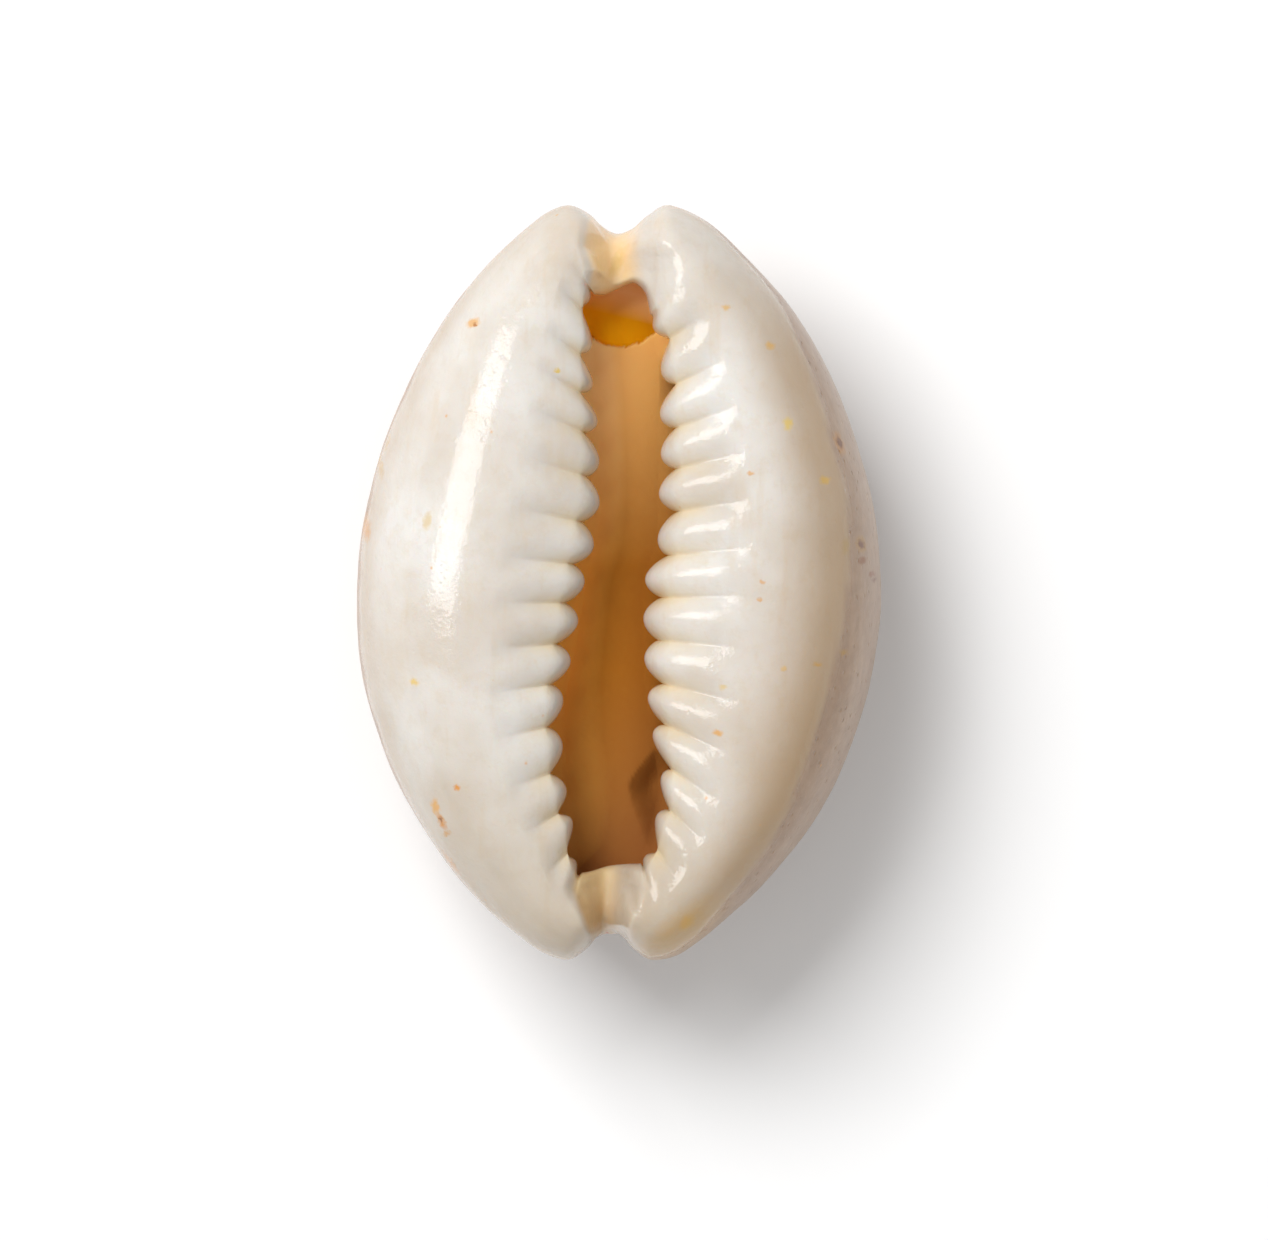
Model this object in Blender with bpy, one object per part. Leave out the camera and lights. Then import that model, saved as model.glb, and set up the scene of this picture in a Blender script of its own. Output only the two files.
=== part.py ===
"""Cowrie shell, lying on the worn flat of its domed back with the toothed aperture up.

Run it with: blender --background --python part.py

The shell grew as one piece, so it is one solid: a thick porcelain-like wall, two inrolled
toothed lips, a canal between the lips at each end, and the inner whorl seen through the gap.
+Y runs to the posterior end and +X to the outer lip. The origin is under the middle of the
shell, on the surface that it rests on.

The surface is one closed ball whose top is pushed in. A spoke is a line that starts on the
middle of the back, goes out to the side of the shell, up over the base to the edge of the
aperture, in under the lip and down to the middle line of the inner whorl. A ring joins all spokes
at one station. Spokes are numbered in steps of one tooth, from the middle of the anterior
canal, up the outer lip, through the posterior canal and down the inner lip.
"""

import bmesh
import bpy
import numpy as np

MM = 0.001

# Driving sizes, in millimetres.
CREST_HEIGHT = 12.0
CREST_DROP_AT_ENDS = 0.6
SIDE_HEIGHT = 5.8
SIDE_RISE_AT_ENDS = 2.9
HALF_LENGTH = 12.0
WORN_DEPTH = 0.25
BACK_WALL = 1.0
NOTCH_SAG = 0.5
BACK_CENTRE = (-0.3, 0.2)
BACK_HALF_SIZE = (8.4, 12.0)
LIP_SLOPE = 0.385
NOSE_HEIGHT = 0.9
TOOTH_DEPTH = 0.52
LIP_UNDERCUT = 0.75
WHORL_HEIGHT = 7.7
WHORL_RISE = 0.4
WHORL_LENGTH_SHARE = 0.92
END_LANES = 1.5
END_LANE_SHARE = 0.3
RECESS_DEPTH = 0.45
POCKET_DEPTH = 0.4
POCKET_CORNER = (0.25, -6.40)
POCKET_UPPER_SIDE = 50.0
POCKET_LOWER_SIDE = -70.0

# Crest of each lip, as a share of the way from the edge of the aperture out to the side. The
# rounded nose and the ridges end at these shares of the way from the edge to the crest.
OUTER_CREST_SHARE = 0.49
INNER_CREST_SHARE = 0.42
NOSE_SHARE = 0.22
RIDGE_SHARE = 0.90

# Exponent of the oval that rounds the margin.
MARGIN_ROUNDING = 2.1

# One turn around the shell is 34 steps of one tooth, the two canals included.
TURN = 34.0
SPOKES_PER_TOOTH = 4
SEAM_GAP = 0.001

# Edge of the aperture through the tips of the teeth, as (spoke, x, y).
APERTURE = [
    (0.0, -0.29, -8.95), (0.5, 0.35, -8.87), (1.0, 0.72, -8.84), (1.5, 0.79, -8.72),
    (2.5, 1.17, -7.44), (3.5, 1.33, -6.30), (4.5, 1.09, -4.90), (5.5, 0.93, -3.69),
    (6.5, 0.82, -2.43), (7.5, 0.79, -1.13), (8.5, 0.85, 0.16), (9.5, 1.25, 1.46),
    (10.5, 1.28, 2.82), (11.5, 1.34, 4.08), (12.5, 1.31, 5.33), (13.5, 1.34, 6.70),
    (14.5, 1.09, 8.06), (15.1, 1.00, 8.50), (15.7, 0.84, 9.15), (16.1, 0.50, 9.45),
    (16.6, 0.05, 9.30), (17.2, -0.40, 9.10), (17.8, -0.72, 9.08), (18.5, -0.86, 9.04),
    (19.5, -0.82, 7.58), (20.5, -0.80, 6.30), (21.5, -0.65, 5.13), (22.5, -0.59, 3.86),
    (23.5, -0.58, 2.52), (24.5, -0.77, 1.12), (25.5, -1.06, -0.04), (26.5, -1.26, -1.26),
    (27.5, -1.50, -2.53), (28.5, -1.73, -3.76), (29.5, -1.74, -5.15), (30.5, -1.62, -6.52),
    (31.5, -1.42, -7.56), (32.5, -1.29, -8.90), (33.0, -1.20, -9.12), (33.5, -0.85, -9.10),
]

# Widest line of the shell seen from above, as (spoke, x, y).
OUTLINE = [
    (0.0, -0.25, -11.19), (0.35, 0.13, -11.27), (0.6, 0.45, -11.65), (1.0, 1.09, -12.00),
    (1.5, 2.10, -11.74), (2.5, 3.91, -10.33), (3.5, 5.05, -9.20), (4.5, 6.25, -7.67),
    (5.5, 7.28, -5.74), (6.5, 8.04, -3.56), (7.5, 8.41, -1.26), (8.5, 8.43, 0.54),
    (9.5, 8.24, 2.34), (10.5, 7.81, 4.08), (11.5, 7.21, 5.76), (12.5, 6.44, 7.40),
    (13.5, 5.36, 9.03), (14.5, 3.97, 10.50), (15.0, 2.85, 11.48), (15.5, 1.62, 12.00),
    (15.9, 0.96, 11.71), (16.2, 0.45, 11.30), (16.5, -0.06, 11.12), (16.8, -0.51, 11.36),
    (17.1, -0.89, 11.71), (17.5, -1.56, 12.00), (18.0, -2.25, 11.78), (18.5, -2.95, 11.27),
    (19.5, -4.15, 10.18), (20.5, -5.11, 9.10), (21.5, -5.90, 7.92), (22.5, -6.77, 6.34),
    (23.5, -7.60, 4.38), (24.5, -8.15, 2.27), (25.5, -8.39, 0.35), (26.5, -8.41, -1.50),
    (27.5, -8.20, -3.22), (28.5, -7.73, -4.82), (29.5, -7.02, -6.55), (30.5, -5.89, -8.44),
    (31.5, -4.56, -10.03), (32.5, -2.85, -11.50), (33.0, -1.69, -11.97), (33.4, -1.02, -11.65),
    (33.7, -0.62, -11.25),
]

# The two canals, as (y, x of the middle line, half width towards the inner lip, half width
# towards the outer lip, share of the lip height cut away).
CANALS = [
    (-11.6, -0.24, 0.80, 0.80, 0.50), (-11.2, -0.26, 0.75, 0.75, 0.50),
    (-10.8, -0.44, 0.70, 0.85, 0.50), (-10.2, -0.42, 1.05, 1.15, 0.52),
    (-9.6, -0.37, 1.40, 1.40, 0.55), (-8.9, -0.30, 1.30, 1.30, 0.58),
    (8.6, 0.00, 1.20, 1.60, 0.50), (9.3, -0.05, 1.20, 2.00, 0.48),
    (9.8, -0.07, 1.00, 2.30, 0.47), (10.2, -0.15, 1.05, 2.40, 0.46),
    (10.6, -0.20, 1.20, 2.20, 0.45), (11.5, -0.05, 1.20, 1.80, 0.45),
]

# Wall of the chamber behind the outer lip, as (side of the shell that it leads to, share of
# the way there, height, share and height where the chamber narrows to a slit at its ends).
CHAMBER = [
    ("outer", 0.05, 8.90, 0.05, 8.90), ("outer", 0.34, 9.20, 0.15, 8.70),
    ("outer", 0.68, 9.10, 0.22, 7.80), ("outer", 0.84, 6.60, 0.25, 6.60),
    ("outer", 0.70, 3.00, 0.26, 5.60), ("outer", 0.38, 1.45, 0.26, 4.80),
    ("inner", 0.12, 1.00, 0.24, 4.45), ("inner", 0.54, 1.60, 0.205, 4.20),
    ("inner", 0.79, 3.40, 0.185, 4.10), ("inner", 0.85, 6.20, 0.165, 4.20),
    ("inner", 0.75, 8.10, 0.15, 4.50), ("inner", 0.63, 5.60, 0.14, 4.95),
    ("inner", 0.30, 3.30, 0.14, 5.40), ("outer", 0.12, 3.40, 0.14, 5.80),
    ("outer", 0.19, 5.20, 0.14, 6.50), ("outer", 0.15, 7.35, 0.11, 7.25),
]


def loop_through(rows, u):
    """Smooth closed curve through the rows, read at spoke numbers u."""
    rows = np.array(rows)
    knots = np.concatenate([rows[-2:, 0] - TURN, rows[:, 0], rows[:2, 0] + TURN])
    points = np.concatenate([rows[-2:, 1:], rows[:, 1:], rows[:2, 1:]])
    slopes = (points[2:] - points[:-2]) / (knots[2:] - knots[:-2])[:, None]
    knots, points = knots[1:-1], points[1:-1]
    at = np.clip(np.searchsorted(knots, u, side="right") - 1, 0, len(knots) - 2)
    width = (knots[at + 1] - knots[at])[:, None]
    t = (u - knots[at])[:, None] / width
    return (
        (2 * t**3 - 3 * t**2 + 1) * points[at]
        + (t**3 - 2 * t**2 + t) * width * slopes[at]
        + (3 * t**2 - 2 * t**3) * points[at + 1]
        + (t**3 - t**2) * width * slopes[at + 1]
    )


def step(low, high, value):
    """Soft step from 0 at low to 1 at high."""
    t = np.clip((value - low) / (high - low), 0.0, 1.0)
    return t * t * (3.0 - 2.0 * t)


def tooth_window(u):
    """1 along both toothed lips and 0 through the two canals."""
    outer = step(0.95, 1.4, u) * (1.0 - step(14.5, 15.1, u))
    inner = step(17.9, 18.5, u) * (1.0 - step(32.5, 33.2, u))
    return outer + inner


def groove(u):
    """0 on the crown of each tooth and 1 in the sharp groove between two teeth."""
    return (1.0 - np.abs(np.sin(np.pi * u)) ** 0.7) * tooth_window(u)


def canal(x, y):
    """Share of the lip height that the canals cut away. Each canal is a round trough."""
    rows = np.array(CANALS)
    middle = np.interp(y, rows[:, 0], rows[:, 1])
    inner_half = np.interp(y, rows[:, 0], rows[:, 2])
    outer_half = np.interp(y, rows[:, 0], rows[:, 3])
    depth = np.interp(y, rows[:, 0], rows[:, 4])
    half = np.where(x < middle, inner_half, outer_half)
    off = np.clip(np.abs(x - middle) / half, 0.0, 1.0)
    return depth * (0.5 + 0.5 * np.cos(np.pi * off)) * step(7.9, 8.6, np.abs(y))


def pocket(x, y):
    """Sunk wedge at the anterior end, where the whorl folds under the outer lip. It drops
    quickly along its upper side and slowly along its lower side."""
    cx, cy = POCKET_CORNER
    drops = []
    for heading, turn, run in ((POCKET_UPPER_SIDE, -1.0, 0.70), (POCKET_LOWER_SIDE, 1.0, 0.8)):
        along = np.radians(heading)
        inward = turn * ((y - cy) * np.cos(along) - (x - cx) * np.sin(along))
        drops.append(step(-0.10, run, inward))
    return drops[0] * drops[1]


def whorl_top(x, y):
    """Height of the inner whorl seen through the aperture."""
    z = WHORL_HEIGHT + WHORL_RISE * step(1.0, 7.5, y) - 0.12 * (x - 0.1) ** 2
    z = z - RECESS_DEPTH * step(7.45, 7.75, y - 0.1 * x)
    return z - POCKET_DEPTH * pocket(x, y)


def dome(plan):
    """Height of the domed back under the points of plan: a quarter oval from the middle out,
    deeper towards the ends, and cut flat where the shell rests."""
    centre = np.array(BACK_CENTRE)
    spread = np.hypot(*(plan - centre).T)
    heading = (plan - centre) / np.maximum(spread, 1e-6)[:, None]
    oval_reach = 1.0 / np.hypot(*(heading / BACK_HALF_SIZE).T)
    oval_y = centre[1] + heading[:, 1] * oval_reach
    rise = SIDE_RISE_AT_ENDS * (np.abs(oval_y) / HALF_LENGTH) ** 2.2
    full = SIDE_HEIGHT + rise + WORN_DEPTH
    share = np.clip(spread / oval_reach, 0.0, 1.0)
    return np.maximum(full * (1.0 - np.sqrt(1.0 - share**2)) - WORN_DEPTH, 0.0)


def shell_grid(u):
    """Points of the shell on the spokes u, as rings by spokes by x, y, z in millimetres."""
    rim = loop_through(APERTURE, u)
    side = loop_through(OUTLINE, u)
    far_side = loop_through(OUTLINE, TURN - u)
    reach = np.hypot(*(side - rim).T)
    away = (side - rim) / reach[:, None]
    toward_end = np.abs(side[:, 1]) / HALF_LENGTH
    notch = canal(side[:, 0], side[:, 1])
    side_z = SIDE_HEIGHT + SIDE_RISE_AT_ENDS * toward_end**2.2 - NOTCH_SAG * notch
    crest_z = CREST_HEIGHT - CREST_DROP_AT_ENDS * toward_end**2
    inner_lip = step(16.0, 18.0, u) * (1.0 - step(33.0, 34.0, u))
    crest_share = OUTER_CREST_SHARE + (INNER_CREST_SHARE - OUTER_CREST_SHARE) * inner_lip
    crest = crest_share * reach
    cut = groove(u)
    rings = []

    # Domed back, from the worn flat out to the side. It is a plain oval dome that takes on the
    # true outline, with its two notches, only near the side.
    centre = np.array(BACK_CENTRE)
    heading = (side - centre) / np.hypot(*(side - centre).T)[:, None]
    oval_reach = 1.0 / np.hypot(*(heading / BACK_HALF_SIZE).T)
    oval = centre + heading * oval_reach[:, None]
    oval_z = SIDE_HEIGHT + SIDE_RISE_AT_ENDS * (np.abs(oval[:, 1]) / HALF_LENGTH) ** 2.2
    full = oval_z + WORN_DEPTH
    flat = np.sqrt(1.0 - (1.0 - WORN_DEPTH / full) ** 2)
    rings.append(np.column_stack([centre + (oval - centre) * flat[:, None], 0.0 * u]))
    for angle in np.radians([30.0, 45.0, 60.0, 76.0]):
        near_side = step(0.45, 1.0, np.sin(angle))
        edge = oval + (side - oval) * near_side
        plan = centre + (edge - centre) * np.sin(angle)
        full = oval_z + (side_z - oval_z) * near_side + WORN_DEPTH
        rings.append(np.column_stack([plan, full * (1.0 - np.cos(angle)) - WORN_DEPTH]))
    rings.append(np.column_stack([side, side_z]))

    # Rounded margin, from the side up to the crest of the base.
    for angle in np.radians([70.0, 50.0, 31.0, 14.0]):
        out = np.sin(angle) ** (2.0 / MARGIN_ROUNDING)
        rise = np.cos(angle) ** (2.0 / MARGIN_ROUNDING)
        plan = rim + away * (crest + (reach - crest) * out)[:, None]
        lift = (crest_z - side_z) * rise * (1.0 - canal(*plan.T))
        rings.append(np.column_stack([plan, side_z + lift]))

    # Base from the crest in to the tips of the teeth, with the ridges and grooves.
    for share in (1.0, 0.70, 0.48, 0.30, 0.16, 0.06, 0.0):
        bend = np.clip(1.0 - share / NOSE_SHARE, 0.0, 1.0)
        up = np.sqrt(1.0 - bend**2)
        fade = np.clip(1.0 - share / RIDGE_SHARE, 0.0, 1.0)
        plan = rim + away * (share * crest)[:, None]
        z = crest_z - LIP_SLOPE * crest * (1.0 - share) ** 2 - NOSE_HEIGHT * (1.0 - up)
        z = side_z + (z - side_z) * (1.0 - canal(*plan.T))
        plan = plan + away * (TOOTH_DEPTH * cut * fade * bend)[:, None]
        rings.append(np.column_stack([plan, z - TOOTH_DEPTH * cut * fade * up]))
    rim_z = rings[-1][:, 2]

    # Under the inner lip and the canals the wall runs down to the whorl. Under the outer lip it
    # opens through a slit into the chamber, which runs around the back to the far side.
    slit = step(3.15, 3.85, u) * (1.0 - step(13.15, 13.85, u))
    spread = step(3.7, 5.4, u) * (1.0 - step(11.9, 13.4, u))
    slit, spread = slit[:, None], spread[:, None]
    undercut = LIP_UNDERCUT * (0.3 + 0.7 * tooth_window(u))
    edge_z = whorl_top(*rim.T)
    for number, (kind, share, height, slit_share, slit_height) in enumerate(CHAMBER):
        part_way = (number + 1.0) / (len(CHAMBER) + 1.0)
        gap = undercut * np.sin(np.pi * part_way) ** 0.6
        gap = np.maximum(gap, TOOTH_DEPTH * cut * np.clip(1.2 - part_way * 3.0, 0.0, 1.0))
        sink = (edge_z - rim_z) * np.sin(np.pi / 2.0 * part_way)
        wall = np.column_stack([rim + away * gap[:, None], rim_z + sink])
        crack = np.column_stack([rim + (side - rim) * slit_share, slit_height + 0.0 * u])
        target = side if kind == "outer" else far_side
        plan = rim + (target - rim) * share
        room = np.column_stack([plan, np.maximum(height, dome(plan) + BACK_WALL)])
        room[:, :2] = crack[:, :2] + (room[:, :2] - crack[:, :2]) * spread
        room[:, 2] = crack[:, 2] + (room[:, 2] - crack[:, 2]) * spread[:, 0] ** 2
        if number == 0:
            room[:, :2] += away * (TOOTH_DEPTH * cut)[:, None]
        rings.append(wall * (1.0 - slit) + room * slit)

    # Line halfway between the lips, where each spoke meets the spoke of the other lip. It
    # stops short of the canals.
    lane = np.minimum(u, TURN - u)
    inner = np.clip(lane, END_LANES, TURN / 2.0 - END_LANES)
    halfway = (loop_through(APERTURE, inner) + loop_through(APERTURE, TURN - inner)) / 2.0
    halfway = halfway * [1.0, WHORL_LENGTH_SHARE]
    end = loop_through(APERTURE, np.where(lane < TURN / 4.0, 0.0, TURN / 2.0))
    past = np.abs(lane - inner) / END_LANES
    halfway += (end - halfway) * (END_LANE_SHARE * past)[:, None]

    # Inner whorl, from the edge of the aperture to that line.
    for share in (0.08, 0.35, 0.68, 1.0):
        plan = rim + (halfway - rim) * share
        rings.append(np.column_stack([plan, whorl_top(*plan.T)]))
    return np.array(rings)


def make_shell(collection):
    """The shell as one closed, faceted solid in its own material."""
    spokes = int(TURN * SPOKES_PER_TOOTH)
    grid = shell_grid(np.arange(spokes) / SPOKES_PER_TOOTH)
    rings = len(grid)

    # The shell starts as a ball. Its south pole is the middle of the back. Its north pole is
    # taken off, and the ring around it closes along the middle line of the inner whorl.
    bm = bmesh.new()
    bmesh.ops.create_uvsphere(bm, u_segments=spokes, v_segments=rings + 1, radius=1.0)
    bmesh.ops.delete(bm, geom=[max(bm.verts, key=lambda vert: vert.co.z)], context="VERTS")
    for vert in bm.verts:
        around = np.arctan2(vert.co.y, vert.co.x) / (2.0 * np.pi) * spokes
        climb = (1.0 - np.arccos(np.clip(vert.co.z, -1.0, 1.0)) / np.pi) * (rings + 1)
        ring = int(round(climb)) - 1
        spoke = int(round(around)) % spokes
        place = (*BACK_CENTRE, 0.0) if ring < 0 else grid[ring, spoke]
        vert.co = [float(value) * MM for value in place]
    bmesh.ops.remove_doubles(bm, verts=bm.verts[:], dist=SEAM_GAP * MM)
    bmesh.ops.triangulate(bm, faces=bm.faces[:])

    mesh = bpy.data.meshes.new("shell")
    bm.to_mesh(mesh)
    bm.free()
    shell = bpy.data.objects.new("shell", mesh)
    collection.objects.link(shell)
    mesh.shade_smooth()

    material = bpy.data.materials.new("shell porcelain")
    material.use_nodes = True
    surface = material.node_tree.nodes["Principled BSDF"]
    surface.inputs["Base Color"].default_value = (0.80, 0.73, 0.64, 1.0)
    surface.inputs["Roughness"].default_value = 0.12
    surface.inputs["Metallic"].default_value = 0.0
    mesh.materials.append(material)
    return shell


for old in list(bpy.data.objects):
    bpy.data.objects.remove(old, do_unlink=True)

cowrie = bpy.data.collections.new("cowrie shell")
bpy.context.scene.collection.children.link(cowrie)
make_shell(cowrie)
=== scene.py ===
"""Looks of the cowrie shell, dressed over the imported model.

Lengths are in millimetres until a mesh is made. +Z is up out of the aperture, +Y runs to the
posterior end of the shell, and +X to its outer lip.
"""

import bpy
import numpy as np
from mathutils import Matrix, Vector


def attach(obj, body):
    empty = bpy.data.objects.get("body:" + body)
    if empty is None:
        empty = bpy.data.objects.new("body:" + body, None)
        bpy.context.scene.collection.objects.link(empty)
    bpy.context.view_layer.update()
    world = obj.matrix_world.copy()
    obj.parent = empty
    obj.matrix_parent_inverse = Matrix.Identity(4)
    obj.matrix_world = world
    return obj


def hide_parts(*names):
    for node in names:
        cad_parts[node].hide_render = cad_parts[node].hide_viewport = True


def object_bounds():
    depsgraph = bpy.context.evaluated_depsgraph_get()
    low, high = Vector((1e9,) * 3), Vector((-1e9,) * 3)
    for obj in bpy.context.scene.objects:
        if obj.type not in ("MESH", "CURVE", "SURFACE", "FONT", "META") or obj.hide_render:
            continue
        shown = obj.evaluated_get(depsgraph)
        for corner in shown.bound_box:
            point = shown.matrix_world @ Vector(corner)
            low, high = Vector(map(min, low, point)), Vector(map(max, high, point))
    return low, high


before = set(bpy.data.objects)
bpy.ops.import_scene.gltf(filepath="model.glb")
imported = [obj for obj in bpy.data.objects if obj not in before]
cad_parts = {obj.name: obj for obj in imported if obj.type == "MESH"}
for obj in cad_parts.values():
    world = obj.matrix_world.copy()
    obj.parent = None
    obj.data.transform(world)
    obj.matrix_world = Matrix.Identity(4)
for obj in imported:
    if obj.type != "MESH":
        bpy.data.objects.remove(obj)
cad_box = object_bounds()


# The shell. The animal grew it as one piece of aragonite, and its mantle laid a thick glossy
# glaze over the whole outside. Both lips roll in towards the aperture and carry a row of teeth,
# and a canal leads out between them at each end.

MM = 0.001

# Domed back, with the worn flat spot that the shell rests on, and the side line around it.
HALF_LENGTH = 12.0
SIDE_HEIGHT = 5.8
SIDE_RISE_AT_ENDS = 2.9
BACK_CENTRE = (-0.3, 0.2)
BACK_HALF_SIZE = (8.4, 12.0)
BACK_WALL = 1.0
WORN_DEPTH = 0.25

# Base: rounded margin, crest, slope in to the teeth, and the nose of each tooth. Shares are of
# the way from the aperture to the side for a crest, and to the crest for the nose and ridges.
CREST_HEIGHT = 12.0
CREST_DROP_AT_ENDS = 0.6
OUTER_CREST_SHARE = 0.49
INNER_CREST_SHARE = 0.42
MARGIN_ROUNDING = 2.1
NOTCH_SAG = 0.5
LIP_SLOPE = 0.385
NOSE_HEIGHT = 0.9
NOSE_SHARE = 0.22
TOOTH_DEPTH = 0.52
RIDGE_SHARE = 0.90

# Inside: the wall under the lips, the inner whorl, its amber hollow and its pocket, whose two
# sides are headings in degrees.
LIP_UNDERCUT = 0.75
WHORL_HEIGHT = 7.7
WHORL_RISE = 0.4
WHORL_LENGTH_SHARE = 0.92
END_LANES = 1.5
END_LANE_SHARE = 0.3
RECESS_DEPTH = 0.45
POCKET_DEPTH = 0.4
POCKET_CORNER = (0.25, -6.40)
POCKET_UPPER_SIDE = 50.0
POCKET_LOWER_SIDE = -70.0

# Unevenness of the glaze: long and short swells, as (seed, size, height), the wrinkles of the
# canals, the drop where the glaze ends on the flank, and how far all of it stays inside.
SWELLS = [(1, 3.2, 0.014), (2, 0.9, 0.003)]
WRINKLE_SIZE = 0.8
WRINKLE_HEIGHT = 0.015
GLAZE_THICKNESS = 0.04
INSET = 0.03

# The grid has one spoke number for each tooth, which counts to TURN once around the shell.
TURN = 34.0
SPOKES_PER_TOOTH = 24

# Edge of the aperture through the tips of the teeth, as (spoke, x, y). Spokes are numbered in
# steps of one tooth from the anterior canal, up the outer lip and down the inner lip.
APERTURE = [
    (0.0, -0.29, -8.95), (0.5, 0.35, -8.87), (1.0, 0.72, -8.84), (1.5, 0.79, -8.72),
    (2.5, 1.17, -7.44), (3.5, 1.33, -6.30), (4.5, 1.09, -4.90), (5.5, 0.93, -3.69),
    (6.5, 0.82, -2.43), (7.5, 0.79, -1.13), (8.5, 0.85, 0.16), (9.5, 1.25, 1.46),
    (10.5, 1.28, 2.82), (11.5, 1.34, 4.08), (12.5, 1.31, 5.33), (13.5, 1.34, 6.70),
    (14.5, 1.09, 8.06), (15.1, 1.00, 8.50), (15.7, 0.84, 9.15), (16.1, 0.50, 9.45),
    (16.6, 0.05, 9.30), (17.2, -0.40, 9.10), (17.8, -0.72, 9.08), (18.5, -0.86, 9.04),
    (19.5, -0.82, 7.58), (20.5, -0.80, 6.30), (21.5, -0.65, 5.13), (22.5, -0.59, 3.86),
    (23.5, -0.58, 2.52), (24.5, -0.77, 1.12), (25.5, -1.06, -0.04), (26.5, -1.26, -1.26),
    (27.5, -1.50, -2.53), (28.5, -1.73, -3.76), (29.5, -1.74, -5.15), (30.5, -1.62, -6.52),
    (31.5, -1.42, -7.56), (32.5, -1.29, -8.90), (33.0, -1.20, -9.12), (33.5, -0.85, -9.10),
]

# Widest line of the shell seen from above, as (spoke, x, y).
OUTLINE = [
    (0.0, -0.25, -11.19), (0.35, 0.13, -11.27), (0.6, 0.45, -11.65), (1.0, 1.09, -12.00),
    (1.5, 2.10, -11.74), (2.5, 3.91, -10.33), (3.5, 5.05, -9.20), (4.5, 6.25, -7.67),
    (5.5, 7.28, -5.74), (6.5, 8.04, -3.56), (7.5, 8.41, -1.26), (8.5, 8.43, 0.54),
    (9.5, 8.24, 2.34), (10.5, 7.81, 4.08), (11.5, 7.21, 5.76), (12.5, 6.44, 7.40),
    (13.5, 5.36, 9.03), (14.5, 3.97, 10.50), (15.0, 2.85, 11.48), (15.5, 1.62, 12.00),
    (15.9, 0.96, 11.71), (16.2, 0.45, 11.30), (16.5, -0.06, 11.12), (16.8, -0.51, 11.36),
    (17.1, -0.89, 11.71), (17.5, -1.56, 12.00), (18.0, -2.25, 11.78), (18.5, -2.95, 11.27),
    (19.5, -4.15, 10.18), (20.5, -5.11, 9.10), (21.5, -5.90, 7.92), (22.5, -6.77, 6.34),
    (23.5, -7.60, 4.38), (24.5, -8.15, 2.27), (25.5, -8.39, 0.35), (26.5, -8.41, -1.50),
    (27.5, -8.20, -3.22), (28.5, -7.73, -4.82), (29.5, -7.02, -6.55), (30.5, -5.89, -8.44),
    (31.5, -4.56, -10.03), (32.5, -2.85, -11.50), (33.0, -1.69, -11.97), (33.4, -1.02, -11.65),
    (33.7, -0.62, -11.25),
]

# The two canals, as (y, x of the middle line, half width towards the inner lip, half width
# towards the outer lip, share of the lip height cut away).
CANALS = [
    (-11.6, -0.24, 0.80, 0.80, 0.50), (-11.2, -0.26, 0.75, 0.75, 0.50),
    (-10.8, -0.44, 0.70, 0.85, 0.50), (-10.2, -0.42, 1.05, 1.15, 0.52),
    (-9.6, -0.37, 1.40, 1.40, 0.55), (-8.9, -0.30, 1.30, 1.30, 0.58),
    (8.6, 0.00, 1.20, 1.60, 0.50), (9.3, -0.05, 1.20, 2.00, 0.48),
    (9.8, -0.07, 1.00, 2.30, 0.47), (10.2, -0.15, 1.05, 2.40, 0.46),
    (10.6, -0.20, 1.20, 2.20, 0.45), (11.5, -0.05, 1.20, 1.80, 0.45),
]

# Wall of the chamber behind the outer lip, as (side of the shell that it leads to, share of
# the way there, height, share and height where the chamber narrows to a slit at its ends).
CHAMBER = [
    ("outer", 0.05, 8.90, 0.05, 8.90), ("outer", 0.34, 9.20, 0.15, 8.70),
    ("outer", 0.68, 9.10, 0.22, 7.80), ("outer", 0.84, 6.60, 0.25, 6.60),
    ("outer", 0.70, 3.00, 0.26, 5.60), ("outer", 0.38, 1.45, 0.26, 4.80),
    ("inner", 0.12, 1.00, 0.24, 4.45), ("inner", 0.54, 1.60, 0.205, 4.20),
    ("inner", 0.79, 3.40, 0.185, 4.10), ("inner", 0.85, 6.20, 0.165, 4.20),
    ("inner", 0.75, 8.10, 0.15, 4.50), ("inner", 0.63, 5.60, 0.14, 4.95),
    ("inner", 0.30, 3.30, 0.14, 5.40), ("outer", 0.12, 3.40, 0.14, 5.80),
    ("outer", 0.19, 5.20, 0.14, 6.50), ("outer", 0.15, 7.35, 0.11, 7.25),
]

# Line where the glaze of the base ends on the flank, as (spoke, share of the way from the
# aperture to the side). It shows from above only on the outer lip.
GLAZE_EDGE = [
    (0.0, 1.00), (1.5, 0.93), (2.5, 0.86), (4.0, 0.84), (5.5, 0.80), (7.5, 0.83), (9.0, 0.86),
    (11.0, 0.87), (12.5, 0.90), (14.0, 0.95), (16.0, 0.99), (20.0, 0.99), (27.0, 0.98),
    (32.0, 0.99),
]


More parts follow.
